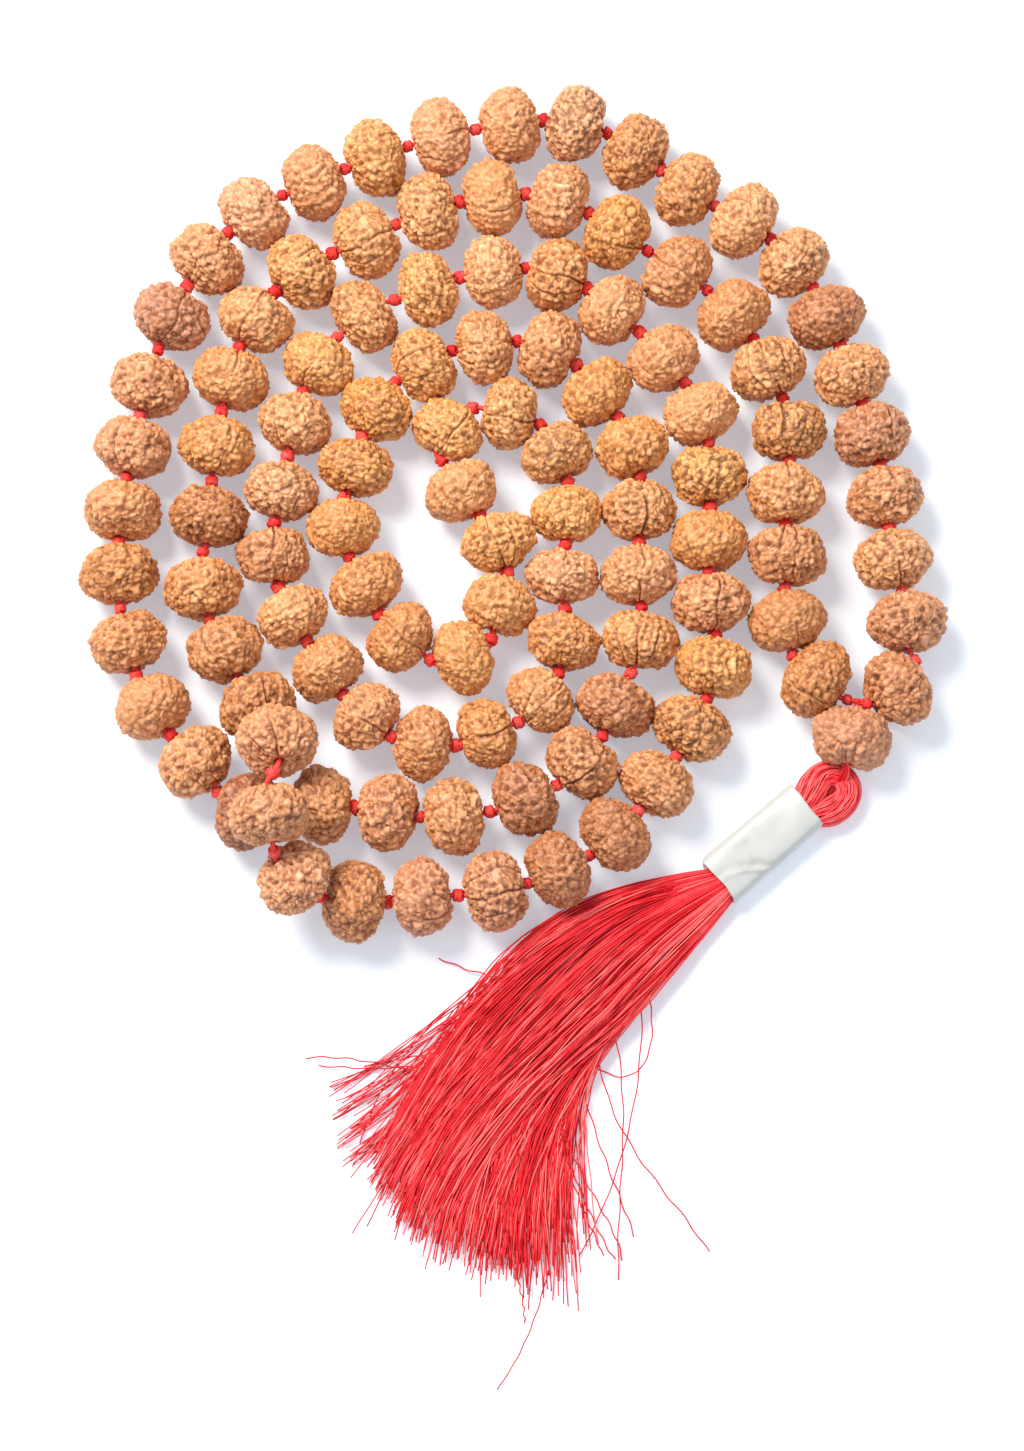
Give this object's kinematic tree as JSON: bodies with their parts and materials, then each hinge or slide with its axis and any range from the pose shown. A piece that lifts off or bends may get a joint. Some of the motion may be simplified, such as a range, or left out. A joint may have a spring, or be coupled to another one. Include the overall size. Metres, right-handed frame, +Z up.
{
  "type": "mala prayer beads",
  "caption": "Coiled loop of ridged seed beads on a knotted cord, joined at a guru bead that carries a tape-bound thread tassel.",
  "frame": {"origin": "on the table, under the middle of the whole part lying coiled", "axes": "+Z up from the table; the tassel points towards -Y, away from the coil, which lies towards +Y; the guru bead is at +X"},
  "size_m": [0.2246, 0.3254, 0.0404],
  "materials": {
    "seed": "natural ridged seed, dry satin",
    "thread": "red silky thread",
    "tape": "white paper tape, slightly glossy"
  },
  "bodies": {
    "guru_cord": {"guru_cord": "thread"},
    "guru_bead": {"guru_bead": "seed"},
    "links_a_01": {"strand_a_01": "seed", "strand_a_02": "seed"},
    "links_a_02": {"strand_a_03": "seed", "strand_a_04": "seed"},
    "links_a_03": {"strand_a_05": "seed", "strand_a_06": "seed"},
    "links_a_04": {"strand_a_07": "seed", "strand_a_08": "seed"},
    "links_a_05": {"strand_a_09": "seed", "strand_a_10": "seed"},
    "links_a_06": {"strand_a_11": "seed", "strand_a_12": "seed"},
    "links_a_07": {"strand_a_13": "seed", "strand_a_14": "seed"},
    "links_a_08": {"strand_a_15": "seed", "strand_a_16": "seed"},
    "links_a_09": {"strand_a_17": "seed", "strand_a_18": "seed"},
    "links_a_10": {"strand_a_19": "seed", "strand_a_20": "seed"},
    "links_a_11": {"strand_a_21": "seed", "strand_a_22": "seed"},
    "links_a_12": {"strand_a_23": "seed", "strand_a_24": "seed"},
    "links_a_13": {"strand_a_25": "seed", "strand_a_26": "seed"},
    "links_a_14": {"strand_a_27": "seed"},
    "links_b_01": {"strand_b_01": "seed", "strand_b_02": "seed"},
    "links_b_02": {"strand_b_03": "seed", "strand_b_04": "seed"},
    "links_b_03": {"strand_b_05": "seed", "strand_b_06": "seed"},
    "links_b_04": {"strand_b_07": "seed", "strand_b_08": "seed"},
    "links_b_05": {"strand_b_09": "seed", "strand_b_10": "seed"},
    "links_b_06": {"strand_b_11": "seed", "strand_b_12": "seed"},
    "links_b_07": {"strand_b_13": "seed", "strand_b_14": "seed"},
    "links_b_08": {"strand_b_15": "seed", "strand_b_16": "seed"},
    "links_b_09": {"strand_b_17": "seed", "strand_b_18": "seed"},
    "links_b_10": {"strand_b_19": "seed", "strand_b_20": "seed"},
    "links_b_11": {"strand_b_21": "seed", "strand_b_22": "seed"},
    "links_b_12": {"strand_b_23": "seed", "strand_b_24": "seed"},
    "links_b_13": {"strand_b_25": "seed", "strand_b_26": "seed"},
    "links_b_14": {"strand_b_27": "seed"},
    "tassel_head": {"tassel_head": "thread"},
    "tassel": {"tape_sleeve": "tape", "tassel_skirt": "thread", "tassel_side_lock": "thread"}
  },
  "joints": [
    {"name": "coil_lift", "type": "hinge", "parent": "guru_cord", "child": "links_a_01", "pos_m": [0.0912, -0.00391, 0.00986], "axis": [0.9974, -0.0721, 0], "range_deg": [0, 5.25]},
    {"name": "knot_a_02", "type": "hinge", "parent": "links_a_01", "child": "links_a_02", "pos_m": [0.09578, 0.05948, 0.00971], "axis": [-0.2882, 0.9566, -0.0428], "range_deg": [0, 2.55]},
    {"name": "knot_a_03", "type": "hinge", "parent": "links_a_02", "child": "links_a_03", "pos_m": [0.0679, 0.12084, 0.00987], "axis": [-0.6952, 0.7177, -0.0407], "range_deg": [0, 3.13]},
    {"name": "knot_a_04", "type": "hinge", "parent": "links_a_03", "child": "links_a_04", "pos_m": [0.00794, 0.15366, 0.00988], "axis": [-0.9982, 0.0468, -0.0383], "range_deg": [0, 3.71]},
    {"name": "knot_a_05", "type": "hinge", "parent": "links_a_04", "child": "links_a_05", "pos_m": [-0.06073, 0.13299, 0.01], "axis": [-0.8054, -0.5915, -0.0383], "range_deg": [0, 3.37]},
    {"name": "knot_a_06", "type": "hinge", "parent": "links_a_05", "child": "links_a_06", "pos_m": [-0.09743, 0.0729, 0.00978], "axis": [-0.2951, -0.9546, -0.0401], "range_deg": [0, 2.6]},
    {"name": "knot_a_07", "type": "hinge", "parent": "links_a_06", "child": "links_a_07", "pos_m": [-0.09744, 0.00349, 0.00978], "axis": [0.4512, -0.8916, -0.0374], "range_deg": [0, 4.83]},
    {"name": "knot_a_08", "type": "hinge", "parent": "links_a_07", "child": "links_a_08", "pos_m": [-0.0407, -0.03132, 0.0098], "axis": [0.9845, -0.1705, -0.0408], "range_deg": [0, 4.17]},
    {"name": "knot_a_09", "type": "hinge", "parent": "links_a_08", "child": "links_a_09", "pos_m": [0.0231, -0.01269, 0.00982], "axis": [0.6272, 0.778, -0.0373], "range_deg": [0, 5.52]},
    {"name": "knot_a_10", "type": "hinge", "parent": "links_a_09", "child": "links_a_10", "pos_m": [0.03317, 0.05629, 0.00958], "axis": [-0.2814, 0.9588, -0.0394], "range_deg": [0, 5.7]},
    {"name": "knot_a_11", "type": "hinge", "parent": "links_a_10", "child": "links_a_11", "pos_m": [-0.01594, 0.09062, 0.00959], "axis": [-0.9631, -0.267, -0.0322], "range_deg": [0, 8.71]},
    {"name": "knot_a_12", "type": "hinge", "parent": "links_a_11", "child": "links_a_12", "pos_m": [-0.04252, 0.03491, 0.00944], "axis": [0.3651, -0.9304, -0.0335], "range_deg": [0, 11.59]},
    {"name": "knot_a_13", "type": "hinge", "parent": "links_a_12", "child": "links_a_13", "pos_m": [-0.00142, 0.03082, 0.00933], "axis": [0.8115, 0.5818, -0.0551], "range_deg": [0, 11.29]},
    {"name": "knot_a_14", "type": "hinge", "parent": "links_a_13", "child": "links_a_14", "pos_m": [0.00714, 0.07064, 0.00932], "axis": [-0.9991, 0.04, 0.0127], "range_deg": [0, 13.46]},
    {"name": "knot_b_01", "type": "hinge", "parent": "guru_cord", "child": "links_b_01", "pos_m": [0.08694, -0.00289, 0.00996], "axis": [0.9741, 0.226, 0], "range_deg": [0, 6.28]},
    {"name": "knot_b_02", "type": "hinge", "parent": "links_b_01", "child": "links_b_02", "pos_m": [0.07222, 0.06058, 0.00976], "axis": [-0.4961, 0.8667, -0.0523], "range_deg": [0, 2.13]},
    {"name": "knot_b_03", "type": "hinge", "parent": "links_b_02", "child": "links_b_03", "pos_m": [0.03548, 0.11772, 0.00979], "axis": [-0.8373, 0.5447, -0.0478], "range_deg": [0, 5.24]},
    {"name": "knot_b_04", "type": "hinge", "parent": "links_b_03", "child": "links_b_04", "pos_m": [-0.03066, 0.12505, 0.0099], "axis": [-0.9232, -0.3816, -0.0469], "range_deg": [0, 5.57]},
    {"name": "knot_b_05", "type": "hinge", "parent": "links_b_04", "child": "links_b_05", "pos_m": [-0.07615, 0.07406, 0.00977], "axis": [-0.258, -0.965, -0.0465], "range_deg": [0, 4.61]},
    {"name": "knot_b_06", "type": "hinge", "parent": "links_b_05", "child": "links_b_06", "pos_m": [-0.07027, 0.00224, 0.00873], "axis": [0.0384, -0.998, -0.0494], "range_deg": [0, 1.57]},
    {"name": "knot_b_07", "type": "hinge", "parent": "links_b_06", "child": "links_b_07", "pos_m": [-0.04954, -0.05534, 0.01375], "axis": [0.948, -0.3166, -0.0321], "range_deg": [0, 6.62]},
    {"name": "knot_b_08", "type": "hinge", "parent": "links_b_07", "child": "links_b_08", "pos_m": [0.01948, -0.04396, 0.00983], "axis": [0.8469, 0.5306, -0.0335], "range_deg": [0, 3.7]},
    {"name": "knot_b_09", "type": "hinge", "parent": "links_b_08", "child": "links_b_09", "pos_m": [0.05237, 0.01418, 0.00988], "axis": [0.1806, 0.9829, -0.036], "range_deg": [0, 2.66]},
    {"name": "knot_b_10", "type": "hinge", "parent": "links_b_09", "child": "links_b_10", "pos_m": [0.04531, 0.08162, 0.00952], "axis": [-0.5523, 0.833, -0.0332], "range_deg": [0, 4.24]},
    {"name": "knot_b_11", "type": "hinge", "parent": "links_b_10", "child": "links_b_11", "pos_m": [-0.01397, 0.1106, 0.00954], "axis": [-0.9823, -0.1847, -0.0309], "range_deg": [0, 5.29]},
    {"name": "knot_b_12", "type": "hinge", "parent": "links_b_11", "child": "links_b_12", "pos_m": [-0.05877, 0.06208, 0.00947], "axis": [-0.2626, -0.9643, -0.0341], "range_deg": [0, 4.18]},
    {"name": "knot_b_13", "type": "hinge", "parent": "links_b_12", "child": "links_b_13", "pos_m": [-0.04378, -0.00161, 0.00927], "axis": [0.7595, -0.6498, -0.0313], "range_deg": [0, 6.43]},
    {"name": "knot_b_14", "type": "hinge", "parent": "links_b_13", "child": "links_b_14", "pos_m": [0.01179, 0.00417, 0.00923], "axis": [0.5868, 0.8092, -0.0304], "range_deg": [0, 6.25]},
    {"name": "guru_bead_spin", "type": "hinge", "parent": "guru_cord", "child": "guru_bead", "pos_m": [0.0874, -0.01295, 0.01], "axis": [-0.1736, -0.9848, 0], "continuous": true},
    {"name": "tassel_swing", "type": "hinge", "parent": "guru_cord", "child": "tassel_head", "pos_m": [0.0821, -0.02645, 0.0028], "axis": [0, 0, 1], "range_deg": [0, 75]},
    {"name": "tassel_lift", "type": "hinge", "parent": "tassel_head", "child": "tassel", "pos_m": [0.07573, -0.03161, 0.004], "axis": [-0.6293, 0.7771, 0], "range_deg": [0, 30]}
  ],
  "couplings": [
    {"joint": "knot_a_02", "follows": "coil_lift", "ratio": 0.4824},
    {"joint": "knot_a_03", "follows": "coil_lift", "ratio": 0.5921},
    {"joint": "knot_a_04", "follows": "coil_lift", "ratio": 0.7022},
    {"joint": "knot_a_05", "follows": "coil_lift", "ratio": 0.6384},
    {"joint": "knot_a_06", "follows": "coil_lift", "ratio": 0.4921},
    {"joint": "knot_a_07", "follows": "coil_lift", "ratio": 0.9161},
    {"joint": "knot_a_08", "follows": "coil_lift", "ratio": 0.7911},
    {"joint": "knot_a_09", "follows": "coil_lift", "ratio": 1.0476},
    {"joint": "knot_a_10", "follows": "coil_lift", "ratio": 1.0828},
    {"joint": "knot_a_11", "follows": "coil_lift", "ratio": 1.655},
    {"joint": "knot_a_12", "follows": "coil_lift", "ratio": 2.2044},
    {"joint": "knot_a_13", "follows": "coil_lift", "ratio": 2.1459},
    {"joint": "knot_a_14", "follows": "coil_lift", "ratio": 2.5606},
    {"joint": "knot_b_01", "follows": "coil_lift", "ratio": 1.1927},
    {"joint": "knot_b_02", "follows": "coil_lift", "ratio": 0.4019},
    {"joint": "knot_b_03", "follows": "coil_lift", "ratio": 0.994},
    {"joint": "knot_b_04", "follows": "coil_lift", "ratio": 1.0569},
    {"joint": "knot_b_05", "follows": "coil_lift", "ratio": 0.8742},
    {"joint": "knot_b_06", "follows": "coil_lift", "ratio": 0.2948},
    {"joint": "knot_b_07", "follows": "coil_lift", "ratio": 1.2563},
    {"joint": "knot_b_08", "follows": "coil_lift", "ratio": 0.7007},
    {"joint": "knot_b_09", "follows": "coil_lift", "ratio": 0.502},
    {"joint": "knot_b_10", "follows": "coil_lift", "ratio": 0.8037},
    {"joint": "knot_b_11", "follows": "coil_lift", "ratio": 1.0032},
    {"joint": "knot_b_12", "follows": "coil_lift", "ratio": 0.7915},
    {"joint": "knot_b_13", "follows": "coil_lift", "ratio": 1.2206},
    {"joint": "knot_b_14", "follows": "coil_lift", "ratio": 1.1861}
  ]
}
